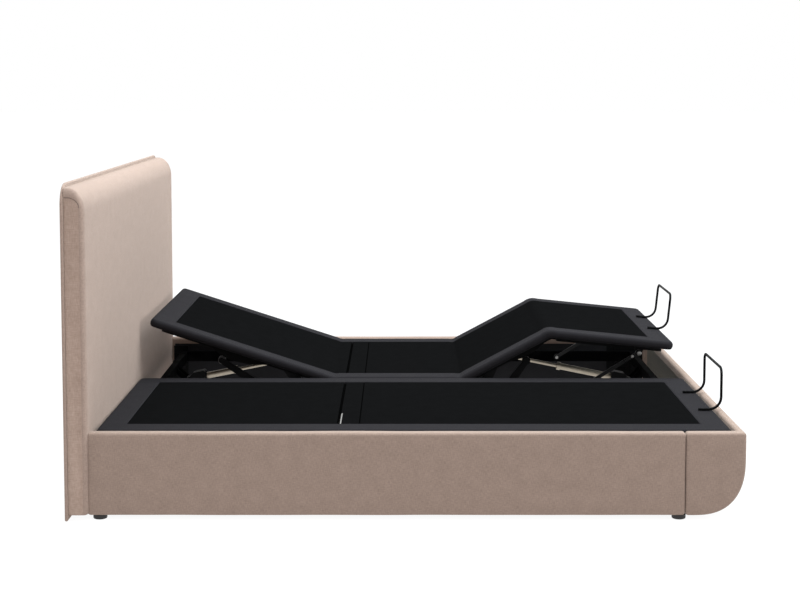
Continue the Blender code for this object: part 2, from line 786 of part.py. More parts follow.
def make_lift(deck, key, sign, centre, theta, finishes):
    """A lift shaft with its arms and crank, its rollers, and the actuator that turns it."""
    lift = LIFTS[key]
    run = lift["run"]
    name = deck + "_" + key
    drive = centre + sign * DRIVE_OFFSET
    shaft_place = (lift["hinge_x"] + run * lift["shaft"][0], 0.0, PIVOT_Z + lift["shaft"][1])
    turn = -run * arm_ratio(lift) * theta
    shaft = pivot(name + "_shaft_axis", shaft_place, turn)
    rise = arm_rise(lift, 0.0)
    tip = (run * lift["arm"] * cos(rise), lift["arm"] * sin(rise))
    crank = (run * lift["crank"] * sin(lift["lean"]), lift["crank"] * cos(lift["lean"]))
    end = BASE_Y - FRAME_WIDE / 2 - 2 * TOUCH
    solids = [cylinder((0, centre - end, 0), (0, centre + end, 0), SHAFT_RADIUS, 16)]
    half = ARM_THICK / 2
    for side in (-1, 1):
        arm_span = span(side, centre, ARM_Y - half, ARM_Y + half)
        solids.append(plate(rounded_bar((0, 0), 0.020, tip, 0.0105), *arm_span))
        if lift["rollers"]:
            axle = [centre + side * y for y in (ARM_Y, FRAME_Y - ROLLER_WIDE / 2 - 0.003)]
            solids.append(
                cylinder((tip[0], axle[0], tip[1]), (tip[0], axle[1], tip[1]), 0.0045, 10)
            )
        else:
            pad = [centre + side * y for y in (ARM_Y, FRAME_Y - ROLLER_WIDE / 2)]
            solids.append(
                cylinder((tip[0], pad[0], tip[1]), (tip[0], pad[1], tip[1]), ROLLER_RADIUS, 20)
            )
        lug_span = span(side, drive, 0.0078, 0.0128)
        solids.append(plate(rounded_bar((0, 0), 0.019, crank, 0.0100), *lug_span))
    solids.append(cylinder(
        (crank[0], drive - 0.016, crank[1]), (crank[0], drive + 0.016, crank[1]),
        PIN_RADIUS, 10
    ))
    add_object(name + "_lift_shaft", welded(solids), finishes["black"], shaft)

    axle_frame = pivot(name + "_roller_axis", (tip[0], 0.0, tip[1]), 0.0, shaft)
    outer, inner, half, soft = ROLLER_RADIUS, 0.0052, ROLLER_WIDE / 2, 0.0015
    ring = [
        (outer, half - soft), (outer, soft - half), (outer - soft, -half), (inner, -half),
        (inner, half), (outer - soft, half),
    ]
    for side in (-1, 1) if lift["rollers"] else ():
        wheel = turned(ring, (0.0, centre + side * FRAME_Y, 0.0))
        add_object(name + "_roller_" + where(side, sign), wheel, finishes["nylon"], axle_frame)
    make_actuator(name, lift, drive, theta, finishes)


def make_actuator(name, lift, centre, theta, finishes):
    """A motor with its tube and push rod, turned about the pin at the motor's ears."""
    run = lift["run"]
    way = -run
    place = (lift["hinge_x"] + run * lift["motor"][0], 0.0, PIVOT_Z + lift["motor"][1])
    rise = lift["rise"] + lift["turn_ratio"] * theta
    axis = pivot(name + "_motor_axis", place, run * rise)
    house = [(0.020, -0.030), (0.074, -0.030), (0.078, -0.026), (0.078, 0.020), (0.072, 0.026)]
    house += [(0.030, 0.026), (0.012, 0.012)] + arc((0, 0), 0.012, pi / 2, 3 * pi / 2, 6)
    gearbox = plate(
        [(way * u, v) for u, v in house], centre - 0.024, centre + 0.024,
        holes=(circle((0, 0), 0.0056),),
    )
    can = cylinder((way * 0.050, centre, -0.0280), (way * 0.050, centre, -0.130), 0.024, 20)
    add_object(name + "_motor", welded([gearbox, can]), finishes["black"], axis)

    end = lift["tube_end"]
    length = end - 0.0783
    ring_low = length / 2 - 0.014
    wall = [
        (0.0162, length / 2), (0.0162, ring_low), (0.0128, ring_low), (0.0128, -length / 2),
        (0.0088, -length / 2), (0.0088, length / 2),
    ]
    sleeve = turned(wall, (0.0, 0.0, 0.0), steps=20)
    sleeve.transform(turn_to_x(way * (end + 0.0783) / 2, centre, way))
    add_object(name + "_motor_tube", sleeve, finishes["zinc"], axis)

    reach = lift["length"] + lift["rod_ratio"] * theta
    rod_frame = pivot(name + "_rod_end", (way * reach, 0.0, 0.0), 0.0, axis)
    tail = -way * (lift["length"] - 0.090)
    eye_x, eye_z = 0.0145, 0.0218
    eye = [(-eye_x, -eye_z + 0.004), (-eye_x + 0.004, -eye_z), (eye_x - 0.004, -eye_z)]
    eye += [(eye_x, -eye_z + 0.004)] + [(-x, -z) for x, z in eye] + [(-eye_x, eye_z - 0.004)]
    slot = [(-EYE_HALF_X, -EYE_HALF_Z), (EYE_HALF_X, -EYE_HALF_Z)]
    slot += [(EYE_HALF_X, EYE_HALF_Z), (-EYE_HALF_X, EYE_HALF_Z)]
    push_rod = welded([
        plate(eye, centre - 0.005, centre + 0.005, holes=(slot,)),
        cylinder((-way * 0.011, centre, 0), (tail, centre, 0), 0.0072, 16),
    ])
    add_object(name + "_push_rod", push_rod, finishes["zinc"], rod_frame)


def turn_to_x(x, y, way):
    """The transform that lays a shape turned about Y along X, at a place."""
    return Matrix.Translation((x, y, 0.0)) @ Matrix.Rotation(-way * pi / 2, 4, "Z")


def make_deck(deck, finishes):
    pose = POSES[deck]
    centre = pose["sign"] * DECK_CENTRE_Y
    steel, cloth = finishes["black"], finishes["deck"]
    seat = pivot(deck + "_seat_frame_place", (BACK_HINGE_X, 0.0, PIVOT_Z))
    back = pivot(deck + "_back_axis", (BACK_HINGE_X, 0.0, PIVOT_Z), pose["back"])
    thigh = pivot(deck + "_thigh_axis", (THIGH_HINGE_X, 0.0, PIVOT_Z), -pose["thigh"])
    knee_turn = KNEE_RATIO * pose["thigh"]
    knee_place = (THIGH_LENGTH, 0.0, PIVOT_DROP - KNEE_DROP)
    knee = pivot(deck + "_knee_axis", knee_place, knee_turn, thigh)
    link_place = (THIGH_HINGE_X + LINK_BASE[0], 0.0, PIVOT_Z + LINK_BASE[1])
    link = pivot(deck + "_link_axis", link_place, -LINK_RATIO * pose["thigh"])

    make_base(deck, centre, centre + pose["sign"] * DRIVE_OFFSET, steel)
    make_seat(deck, centre, cloth, seat)
    make_back(deck, centre, steel, cloth, back)
    make_thigh(deck, centre, steel, cloth, thigh)
    make_foot(deck, centre, steel, cloth, knee)
    make_links(deck, pose["sign"], centre, steel, link)
    make_retainer(deck, centre, steel, knee)
    make_lift(deck, "head", pose["sign"], centre, pose["back"], finishes)
    make_lift(deck, "leg", pose["sign"], centre, pose["thigh"], finishes)


def main():
    clear_scene()
    finishes = {
        "fabric": material("beige_fabric", (0.52, 0.43, 0.37), 0.9),
        "deck": material("deck_fabric", (0.035, 0.035, 0.038), 0.8),
        "black": material("black_steel", (0.02, 0.02, 0.022), 0.45, 0.3),
        "zinc": material("zinc_steel", (0.45, 0.43, 0.40), 0.35, 1.0),
        "nylon": material("nylon", (0.05, 0.05, 0.05), 0.5),
        "plastic": material("black_plastic", (0.02, 0.02, 0.02), 0.5),
    }
    make_headboard(finishes["fabric"])
    make_rails(finishes["fabric"])
    make_footboard(finishes["fabric"])
    make_feet(finishes["plastic"])
    make_centre_support(finishes["black"])
    make_corner_brackets(finishes["black"])
    make_control_box(finishes["plastic"])
    for deck in POSES:
        make_deck(deck, finishes)
    bpy.context.view_layer.update()


main()
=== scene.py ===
"""Looks for an upholstered bed with two adjustable decks."""

from math import cos, hypot, pi, radians, sin, sqrt

import bmesh
import bpy
import numpy as np
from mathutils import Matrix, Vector, noise


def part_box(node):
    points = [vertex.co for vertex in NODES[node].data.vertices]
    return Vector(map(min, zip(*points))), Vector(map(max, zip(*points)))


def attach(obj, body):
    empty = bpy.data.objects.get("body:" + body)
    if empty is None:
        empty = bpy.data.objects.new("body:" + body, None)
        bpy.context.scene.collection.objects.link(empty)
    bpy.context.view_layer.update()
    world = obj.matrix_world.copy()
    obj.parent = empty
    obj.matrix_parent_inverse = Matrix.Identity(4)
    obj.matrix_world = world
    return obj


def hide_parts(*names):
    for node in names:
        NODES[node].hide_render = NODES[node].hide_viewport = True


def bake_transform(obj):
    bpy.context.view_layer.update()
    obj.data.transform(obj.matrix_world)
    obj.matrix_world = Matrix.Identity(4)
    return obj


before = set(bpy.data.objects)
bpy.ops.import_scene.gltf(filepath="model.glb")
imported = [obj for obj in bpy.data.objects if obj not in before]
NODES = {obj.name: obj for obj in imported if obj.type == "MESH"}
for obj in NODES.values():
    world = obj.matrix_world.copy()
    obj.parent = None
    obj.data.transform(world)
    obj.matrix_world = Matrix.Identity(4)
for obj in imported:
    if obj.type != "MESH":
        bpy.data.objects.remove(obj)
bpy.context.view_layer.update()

SCENE = bpy.context.scene

# Lengths are in metres. REST holds each deck's centre and its angles at rest, in degrees.
REST = {"near": {"centre": -0.454, "back": 0.0, "thigh": 0.0},
        "far": {"centre": 0.454, "back": 18.0, "thigh": 28.1}}
# The knee folds this many times the thigh's angle
KNEE_RATIO = 1.204

# The flat deck: its cover, and the hinge lines that it bends over
DECK_TOP = 0.273
DECK_THICK = 0.030
DECK_HALF = 0.449
DECK_HEAD = -0.972
DECK_FOOT = 1.024
EDGE_ROUND = 0.0125
CORNER_ROUND = 0.028
BACK_HINGE = Vector((-0.264, 0, 0.257))
THIGH_HINGE = Vector((0.208, 0, 0.257))
KNEE_HINGE = Vector((0.571, 0, 0.239))
# How far the cloth bends to each side of a hinge
FOLD = 0.024
BORDER = 0.085
WIDE_BORDER = 0.097
WIDE_SEAM = -0.215
FINE_SEAM = -0.147
THIGH_SPLIT = 0.390
# Places on a cover that are closer together than this are joined
CLOSEST = 0.0007

# The foot links on the flat deck: their pins, and the stud that sits along them
LINK_BASE = (0.638, 0.2065)
LINK_TIP = (0.911, 0.211)
LINK_STUD = 0.247
LINK_RISE = 0.5
LINK_RATIO = 1.12

# The headboard pad: how far its front cloth turns round the ends, and the pad's own curves
PAD_TURN = 0.018
PAD_INSET = 0.015
PAD_DROP = 0.029
PAD_FOOT_ROUND = 0.012
PAD_CROWN = 0.007
PAD_FOOT_STEPS = 5
PAD_FRONT_STEPS = 24
# The first point of the pad's upper curve in its outline
PAD_SHOULDER = PAD_FOOT_STEPS + PAD_FRONT_STEPS + 1

# The longest edge on the softened rails and footboard
SOFT_EDGE = 0.06


# ---- materials -------------------------------------------------------------------------
class Finish:
    """A Principled material and short ways to add nodes to it."""

    def __init__(self, name, colour, roughness, metallic=0.0, specular=0.5):
        self.material = bpy.data.materials.new(name)
        self.material.use_nodes = True
        self.tree = self.material.node_tree
        self.shader = self.tree.nodes["Principled BSDF"]
        self.set("Base Color", (*colour, 1.0))
        self.set("Roughness", roughness)
        self.set("Metallic", metallic)
        self.set("Specular IOR Level", specular)

    def set(self, socket, value):
        self.shader.inputs[socket].default_value = value

    def node(self, kind, **values):
        made = self.tree.nodes.new(kind)
        for key, value in values.items():
            setattr(made, key, value)
        return made

    def link(self, source, target):
        self.tree.links.new(source, target)

    def place(self, scale, flat=True):
        """Coordinates in metres, times a scale: the UV map, or the object's own place."""
        source = self.node("ShaderNodeTexCoord").outputs["UV" if flat else "Object"]
        mapping = self.node("ShaderNodeMapping")
        mapping.inputs["Scale"].default_value = scale
        self.link(source, mapping.inputs["Vector"])
        return mapping.outputs["Vector"]

    def noise(self, scale, detail=2.0, flat=True):
        made = self.node("ShaderNodeTexNoise")
        made.inputs["Scale"].default_value = 1.0
        made.inputs["Detail"].default_value = detail
        self.link(self.place(scale, flat), made.inputs["Vector"])
        return made.outputs["Fac"]

    def math(self, operation, first, second):
        made = self.node("ShaderNodeMath", operation=operation)
        for socket, value in zip(made.inputs, (first, second)):
            if isinstance(value, (int, float)):
                socket.default_value = value
            else:
                self.link(value, socket)
        return made.outputs[0]

    def spread(self, value, low, high, to_low=0.0, to_high=1.0):
        made = self.node("ShaderNodeMapRange")
        self.link(value, made.inputs["Value"])
        for key, number in zip(("From Min", "From Max", "To Min", "To Max"),
                               (low, high, to_low, to_high)):
            made.inputs[key].default_value = number
        return made.outputs[0]

    def mix(self, share, first, second):
        made = self.node("ShaderNodeMix", data_type="RGBA")
        self.link(share, made.inputs["Factor"])
        for socket, value in ((made.inputs[6], first), (made.inputs[7], second)):
            if isinstance(value, tuple):
                socket.default_value = (*value, 1.0)
            else:
                self.link(value, socket)
        return made.outputs[2]

    def colour(self, value):
        self.link(value, self.shader.inputs["Base Color"])

    def rough(self, value):
        self.link(value, self.shader.inputs["Roughness"])

    def bump(self, height, depth, strength=1.0):
        made = self.node("ShaderNodeBump")
        made.inputs["Distance"].default_value = depth
        made.inputs["Strength"].default_value = strength
        self.link(height, made.inputs["Height"])
        self.link(made.outputs[0], self.shader.inputs["Normal"])

    def threads(self, pitch):
        """The height of a plain weave: two sets of threads that pass over each other."""
        waves = []
        for direction in ("X", "Y"):
            made = self.node("ShaderNodeTexWave", bands_direction=direction)
            made.inputs["Scale"].default_value = 0.314 / pitch
            made.inputs["Distortion"].default_value = 0.6
            made.inputs["Detail Scale"].default_value = 40.0
            self.link(self.place((1, 1, 1)), made.inputs["Vector"])
            waves.append(made.outputs["Fac"])
        return self.math("MULTIPLY", *waves)


def woven(name, dark, light, pitch, mottle, roughness=0.9, sheen=0.0, specular=0.3, bump=0.0004):
    """Woven cloth: threads of slightly different shades, and slow patches of light and dark."""
    cloth = Finish(name, light, roughness, specular=specular)
    fine = 0.45 / pitch
    warp = cloth.noise((fine * 1.6, fine * 0.30, 1), 3.0)
    weft = cloth.noise((fine * 0.30, fine * 1.6, 1), 3.0)
    both = cloth.math("ADD", cloth.math("MULTIPLY", warp, 0.5), cloth.math("MULTIPLY", weft, 0.5))
    patch = cloth.noise((22, 22, 22), 2.0)
    share = cloth.math("ADD", cloth.spread(both, 0.5 - mottle, 0.5 + mottle),
                       cloth.spread(patch, 0.3, 0.7, -0.16, 0.16))
    cloth.colour(cloth.mix(share, dark, light))
    cloth.rough(cloth.spread(patch, 0.3, 0.7, roughness - 0.05, min(1.0, roughness + 0.05)))
    height = cloth.math("ADD", cloth.threads(pitch), cloth.math("MULTIPLY", both, 0.8))
    cloth.bump(height, bump)
    if sheen:
        cloth.set("Sheen Weight", sheen)
        cloth.set("Sheen Roughness", 0.45)
        cloth.set("Sheen Tint", (1.0, 0.95, 0.9, 1.0))
    return cloth.material


def painted(name, colour, roughness, specular):
    """Powder-coated steel: fine orange peel and rubbed, smoother patches."""
    paint = Finish(name, colour, roughness, specular=specular)
    peel = paint.noise((900, 900, 900), 2.0, flat=False)
    rub = paint.noise((18, 18, 18), 4.0, flat=False)
    paint.rough(paint.spread(rub, 0.3, 0.7, roughness - 0.10, roughness + 0.12))
    worn = tuple(1.7 * part + 0.003 for part in colour)
    paint.colour(paint.mix(paint.spread(rub, 0.55, 0.75), colour, worn))
    paint.bump(peel, 0.0002, 0.6)
    return paint.material


def brushed(name, colour, roughness, along=(60, 900, 900)):
    """Plated steel with fine lines along its length."""
    steel = Finish(name, colour, roughness, metallic=1.0)
    lines = steel.noise(along, 3.0, flat=False)
    dull = tuple(part * 0.62 for part in colour)
    steel.colour(steel.mix(steel.spread(lines, 0.35, 0.65), dull, colour))
    steel.rough(steel.spread(lines, 0.3, 0.7, roughness - 0.08, roughness + 0.14))
    steel.bump(lines, 0.0001, 0.5)
    return steel.material


def moulded(name, colour, roughness):
    """Grained black plastic."""
    plastic = Finish(name, colour, roughness, specular=0.4)
    grain = plastic.noise((700, 700, 700), 2.0, flat=False)
    plastic.rough(plastic.spread(grain, 0.3, 0.7, roughness - 0.08, roughness + 0.08))
    plastic.bump(grain, 0.0003, 0.6)
    return plastic.material


BEIGE = woven("beige_linen", (0.255, 0.183, 0.150), (0.350, 0.257, 0.213), 0.0017, 0.16,
              sheen=0.12)
# A darker copy of the same beige linen for the rails and footboard: painted shade, not a different
# cloth
BEIGE_SHADED_COPY = woven("beige_linen_painted_shade", (0.232, 0.166, 0.134), (0.319, 0.233, 0.191), 0.0017, 0.16,
                   sheen=0.12)
BEIGE_SIDE = woven("beige_linen_side", (0.285, 0.200, 0.158), (0.430, 0.315, 0.260), 0.0026,
                   0.20, sheen=0.12, bump=0.0007)
# Darkened beige for the lines along the pad's seams: painted shadow in the creases
SEAM_SHADE_CLOTH = woven("seam_shadow", (0.12, 0.085, 0.07), (0.18, 0.13, 0.11), 0.0017, 0.2)
# The footboard's inner front: beige cloth darkened to an olive grey as painted shade, not a separate
# lining
FOOTBOARD_FRONT_SHADE = woven("footboard_front_painted_shade", (0.115, 0.105, 0.088), (0.165, 0.150, 0.128), 0.0012, 0.2)
BORDER_CLOTH = woven("border_knit", (0.0125, 0.0115, 0.0132), (0.0175, 0.0162, 0.0182), 0.0011, 0.2,
                     roughness=0.9, sheen=0.0, specular=0.05, bump=0.00025)
CENTRE_CLOTH = woven("centre_felt", (0.0032, 0.0032, 0.0033), (0.0048, 0.0048, 0.0050), 0.0009, 0.2,
                     roughness=1.0, specular=0.0, bump=0.0002)
BLACK_LINING = woven("black_lining", (0.005, 0.005, 0.0052), (0.008, 0.008, 0.0085), 0.0014, 0.2,
                     roughness=0.95, specular=0.05)
RAIL_LINING = woven("rail_lining", (0.0080, 0.0076, 0.0092), (0.0118, 0.0112, 0.0134), 0.0014, 0.2,
                    sheen=0.02)
# Near-black for the foot of the deck seams: painted shade in the recess
SEAM_FOOT_SHADE = woven("groove_black", (0.0012, 0.0012, 0.0012), (0.0018, 0.0018, 0.0018), 0.0014, 0.2,
               roughness=1.0, specular=0.0)
# Black paint on the mechanism, darkened far below real black paint so that the frame sinks into the
# shade under the decks: partly real colour, partly painted shade; the base frame's copy is darker
# still
BLACK_PAINT_AND_SHADE = painted("black_paint_and_shade", (0.0022, 0.0022, 0.0025), 0.55, specular=0.10)
MATT_PAINT_AND_SHADE = painted("matt_paint_and_shade", (0.0010, 0.0010, 0.0012), 0.75, specular=0.01)
BAR_STEEL = painted("bar_paint", (0.0015, 0.0015, 0.0018), 0.50, specular=0.05)
LINK_STEEL = painted("link_paint", (0.0022, 0.0022, 0.0026), 0.36, specular=0.30)
ZINC = brushed("zinc_plate", (0.47, 0.415, 0.335), 0.36)
BOLT_ZINC = brushed("bolt_zinc", (0.50, 0.49, 0.475), 0.32, (400, 400, 400))
BLACK_PLASTIC = moulded("black_plastic_grain", (0.014, 0.013, 0.013), 0.5)
NYLON = moulded("nylon_grain", (0.03, 0.03, 0.031), 0.42)


# ---- mesh helpers ----------------------------------------------------------------------
def add_piece(name, mesh, materials, body="bed"):
    """An object on a CAD body, with its materials."""
    for material in materials:
        mesh.materials.append(material)
    piece = bpy.data.objects.new(name, mesh)
    SCENE.collection.objects.link(piece)
    if body:
        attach(piece, body)
    return piece


def evaluated(obj):
    """The object's mesh with its modifiers applied; the object is removed."""
    bpy.context.view_layer.update()
    mesh = bpy.data.meshes.new_from_object(obj.evaluated_get(bpy.context.evaluated_depsgraph_get()))
    mesh.transform(obj.matrix_world)
    bpy.data.objects.remove(obj, do_unlink=True)
    return mesh


def lay_cloth(mesh):
    """A UV map in metres, laid on each face from the side it faces."""
    layer = mesh.uv_layers.active or mesh.uv_layers.new(name="cloth")
    for face in mesh.polygons:
        normal = [abs(part) for part in face.normal]
        across, up = {0: (1, 2), 1: (0, 2), 2: (0, 1)}[normal.index(max(normal))]
        for i in face.loop_indices:
            place = mesh.vertices[mesh.loops[i].vertex_index].co
            layer.data[i].uv = (place[across], place[up])
    return mesh


def smooth(mesh, angle=40):
    mesh.shade_smooth()
    mesh.set_sharp_from_angle(angle=radians(angle))
    return mesh


def arc(centre, radius, first, last, steps):
    return [(centre[0] + radius * cos(first + (last - first) * i / steps),
             centre[1] + radius * sin(first + (last - first) * i / steps))
            for i in range(steps + 1)]


def outline_solid(outline, low, high, across="y"):
    """A closed outline, (x, z) or (y, z), made solid between two values of the third axis."""
    bm = bmesh.new()
    rings = []
    for value in (low, high):
        place = (lambda a, b: (a, value, b)) if across == "y" else (lambda a, b: (value, a, b))
        rings.append([bm.verts.new(place(a, b)) for a, b in outline])
    count = len(outline)
    bm.faces.new(rings[0])
    bm.faces.new(rings[1][::-1])
    for i in range(count):
        j = (i + 1) % count
        bm.faces.new((rings[0][j], rings[0][i], rings[1][i], rings[1][j]))
    bmesh.ops.recalc_face_normals(bm, faces=bm.faces)
    mesh = bpy.data.meshes.new("solid")
    bm.to_mesh(mesh)
    bm.free()
    return mesh


def block(low, high):
    return outline_solid([(low[0], low[2]), (high[0], low[2]), (high[0], high[2]),
                          (low[0], high[2])], low[1], high[1])


def rounded(mesh, width, segments, cutter=None):
    """A mesh with its sharp edges rounded, after a cutter is taken out of it."""
    obj = bpy.data.objects.new("rounding", mesh)
    SCENE.collection.objects.link(obj)
    if cutter is not None:
        tool = bpy.data.objects.new("cutter", cutter)
        SCENE.collection.objects.link(tool)
        cut = obj.modifiers.new("cut", "BOOLEAN")
        cut.operation = "DIFFERENCE"
        cut.object = tool
    round_off = obj.modifiers.new("round", "BEVEL")
    round_off.width = width
    round_off.segments = segments
    round_off.limit_method = "ANGLE"
    round_off.angle_limit = radians(30)
    made = evaluated(obj)
    if cutter is not None:
        bpy.data.objects.remove(tool, do_unlink=True)
    return made


def cut_fine(mesh, longest):
    """Cuts long edges until none is longer than this, so that soft shapes can be pushed in."""
    bm = bmesh.new()
    bm.from_mesh(mesh)
    for axis in range(3):
        values = [v.co[axis] for v in bm.verts]
        low, high = min(values), max(values)
        count = int((high - low) / longest)
        normal = [0.0, 0.0, 0.0]
        normal[axis] = 1.0
        for i in range(1, count + 1):
            place = [0.0, 0.0, 0.0]
            place[axis] = low + (high - low) * i / (count + 1)
            bmesh.ops.bisect_plane(bm, geom=bm.verts[:] + bm.edges[:] + bm.faces[:],
                                   plane_co=place, plane_no=normal, dist=0.0001)
    bm.to_mesh(mesh)
    bm.free()
    return mesh


def soften(mesh, height, size, seed):
    """Slow, shallow swells along the normals, as in cloth drawn over filling."""
    mesh.update()
    normals = [v.normal.copy() for v in mesh.vertices]
    for vertex, normal in zip(mesh.vertices, normals):
        swell = noise.noise(vertex.co / size + Vector((seed, 0.0, 0.0)))
        vertex.co += normal * height * swell
    return mesh


def tube_along(name, points, radius, material):
    """A thin round cord through points, on the bed's body; the pad's seams use it in darkened cloth as
    a painted shadow line.
    """
    curve = bpy.data.curves.new(name, "CURVE")
    curve.dimensions = "3D"
    curve.bevel_depth = radius
    curve.bevel_resolution = 2
    curve.use_fill_caps = True
    spline = curve.splines.new("POLY")
    spline.points.add(len(points) - 1)
    for target, point in zip(spline.points, points):
        target.co = (*point, 1.0)
    obj = bpy.data.objects.new(name, curve)
    SCENE.collection.objects.link(obj)
    mesh = smooth(evaluated(obj))
    return add_piece(name, lay_cloth(mesh), [material])


# ---- camera, light and floor -----------------------------------------------------------
def make_camera():
    """The photograph's camera."""
    data = bpy.data.cameras.new("camera")
    data.lens = 73.2
    data.sensor_width = 36.0
    data.shift_y = -0.109
    camera = bpy.data.objects.new("camera", data)
    camera.location = (-0.0174, -5.911, 1.368)
    camera.rotation_euler = (radians(90 - 4.72), 0.0, 0.0)
    SCENE.collection.objects.link(camera)
    SCENE.camera = camera


def make_lamp(name, place, aim, size, power, colour):
    data = bpy.data.lights.new(name, "AREA")
    data.shape = "RECTANGLE"
    data.size, data.size_y = size
    data.energy = power
    data.color = colour
    lamp = bpy.data.objects.new(name, data)
    lamp.location = place
    lamp.rotation_euler = (Vector(aim) - Vector(place)).to_track_quat("-Z", "Y").to_euler()
    SCENE.collection.objects.link(lamp)


def make_studio():
    """White surroundings, a broad lamp above, one beyond the foot end, and a white floor."""
    SCENE.view_settings.view_transform = "Standard"
    world = bpy.data.worlds.new("studio")
    world.use_nodes = True
    sky = world.node_tree.nodes["Background"]
    sky.inputs["Color"].default_value = (1.0, 1.0, 1.0, 1.0)
    sky.inputs["Strength"].default_value = 1.0
    SCENE.world = world
    make_lamp("ceiling", (0.4, 0.2, 4.2), (0.0, 0.0, 0.0), (4.5, 4.5), 380, (0.88, 0.97, 1.0))
    make_lamp("foot_side", (4.2, -0.4, 2.1), (-1.0, 0.0, 0.6), (2.6, 2.2), 110, (0.85, 0.96, 1.0))
    floor_mesh = bpy.data.meshes.new("floor")
    floor_mesh.from_pydata([(-60, -60, 0), (60, -60, 0), (60, 60, 0), (-60, 60, 0)], [],
                           [(0, 1, 2, 3)])
    pale = Finish("pale_floor", (0.10, 0.10, 0.10), 0.9, specular=0.0)
    pale.set("Emission Color", (1.0, 1.0, 1.0, 1.0))
    pale.set("Emission Strength", 0.93)
    floor_mesh.materials.append(pale.material)
    floor = bpy.data.objects.new("floor", floor_mesh)
    SCENE.collection.objects.link(floor)


# ---- upholstered surround --------------------------------------------------------------
def make_headboard_panel():
    """The thin panel behind the pad, with rounded upper corners."""
    low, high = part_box("headboard_back_panel")
    radius = 0.070
    half, top = high.y, high.z
    outline = [(-half, low.z), (half, low.z)]
    outline += arc((half - radius, top - radius), radius, 0.0, pi / 2, 16)
    outline += arc((radius - half, top - radius), radius, pi / 2, pi, 16)
    panel = rounded(outline_solid(outline, low.x, high.x, across="x"), 0.0046, 5)
    piece = add_piece("headboard_panel_cover", lay_cloth(smooth(panel)), [BEIGE])
    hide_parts("headboard_back_panel")


def pad_section(share, bottom, back, front, top):
    """The pad's outline from its back at the bottom round to the top.

    The share goes from 0 on the broad front to 1 at the seam of an end panel.
    """
    front -= PAD_INSET * share
    top -= PAD_DROP * share
    bottom += 0.004 * share
    small = PAD_FOOT_ROUND
    deep, tall = 0.054 - 0.016 * share, 0.074 - 0.040 * share
    points = [(back, bottom)]
    points += arc((front - small, bottom + small), small, -pi / 2, 0.0, PAD_FOOT_STEPS)
    low, high = bottom + small, top - tall
    points += [(front, low + (high - low) * i / PAD_FRONT_STEPS)
               for i in range(1, PAD_FRONT_STEPS)]
    points += [(front - deep * (1 - u), high + tall * v)
               for u, v in arc((0.0, 0.0), 1.0, 0.0, pi / 2, 14)]
    return points + [(back, top)]


def make_headboard_pad():
    """A crowned pad whose front cloth wraps over its ends to a seam round each end panel."""
    low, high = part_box("headboard_pad")
    back, front, half = low.x, high.x, high.y
    # The crown is highest at this height, and ends as far above it and below it
    middle = 0.52
    turns = [pi / 2 * i / 8 for i in range(9)]
    places = [(PAD_TURN * (1 - cos(turn)) - half, 1 - sin(turn)) for turn in turns]
    places += [(y, 0.0) for y in np.linspace(PAD_TURN - half, 0.0, 20)[1:]]
    places += [(-y, share) for y, share in places[-2::-1]]
    places = [(-half + 0.0004, 1.10)] + places + [(half - 0.0004, 1.10)]
    bm = bmesh.new()
    rings = []
    for y, share in places:
        ring = []
        for x, z in pad_section(share, low.z, back, front, high.z):
            crown = max(0.0, 1 - (y / half) ** 4) * max(0.0, 1 - ((z - middle) / middle) ** 4)
            forward = max(0.0, (x - back) / (front - back))
            ring.append(bm.verts.new((x + (PAD_CROWN * crown - 0.001) * forward, y, z)))
        rings.append(ring)
    count = len(rings[0])
    for first, second in zip(rings, rings[1:]):
        for i in range(count):
            j = (i + 1) % count
            bm.faces.new((first[i], second[i], second[j], first[j]))
    ends = [bm.faces.new(rings[0]), bm.faces.new(rings[-1][::-1])]
    bmesh.ops.recalc_face_normals(bm, faces=bm.faces)
    for face in ends:
        face.material_index = 1
    mesh = bpy.data.meshes.new("headboard_pad_cover")
    bm.to_mesh(mesh)
    bm.free()
    piece = add_piece("headboard_pad_cover", lay_cloth(smooth(mesh, 50)), [BEIGE, BEIGE_SIDE])
    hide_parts("headboard_pad")
    # Each end panel's seam: a thin cord of darkened cloth, a painted shadow along the crease
    for side, name in ((-1, "near"), (1, "far")):
        outline = pad_section(1.06, low.z, back + 0.002, front, high.z)[PAD_SHOULDER:]
        seam = [(x, side * (half + 0.0001), z) for x, z in outline]
        tube_along(name + "_pad_seam_shade", seam, 0.0011, SEAM_SHADE_CLOTH)


def make_rails():
    """The two padded side rails, each with a dark lining on its inner face."""
    for name in ("near", "far"):
        low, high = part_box(name + "_side_rail")
        # The rail's cloth runs a little way into the headboard's soft edge
        body = block((low.x - 0.007, low.y, low.z), high)
        rail = cut_fine(rounded(body, 0.010, 5), SOFT_EDGE)
        soften(rail, 0.0009, 0.16, 3.0 if name == "near" else 9.0)
        # The rail wears the darker copy of the beige linen: painted shade
        piece = add_piece(name + "_rail_cover", lay_cloth(smooth(rail)), [BEIGE_SHADED_COPY])
        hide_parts(name + "_side_rail")
        inner = high.y if name == "near" else low.y
        side = 1 if name == "near" else -1
        ends = sorted((inner + side * 0.0002, inner + side * 0.0012))
        lining = block((low.x + 0.012, ends[0], low.z + 0.010), (high.x, ends[1], high.z - 0.026))
        add_piece(name + "_rail_lining", lay_cloth(lining), [RAIL_LINING])


def footboard_curve(inset):
    """The footboard's outer curve from its widest point down to its underside."""
    half_x, half_z, power, steps = 0.158 - inset, 0.1785 - inset, 2.5, 40
    return [(0.898 + half_x * cos(pi / 2 * i / steps) ** (2 / power),
             0.193 - half_z * sin(pi / 2 * i / steps) ** (2 / power)) for i in range(steps + 1)]


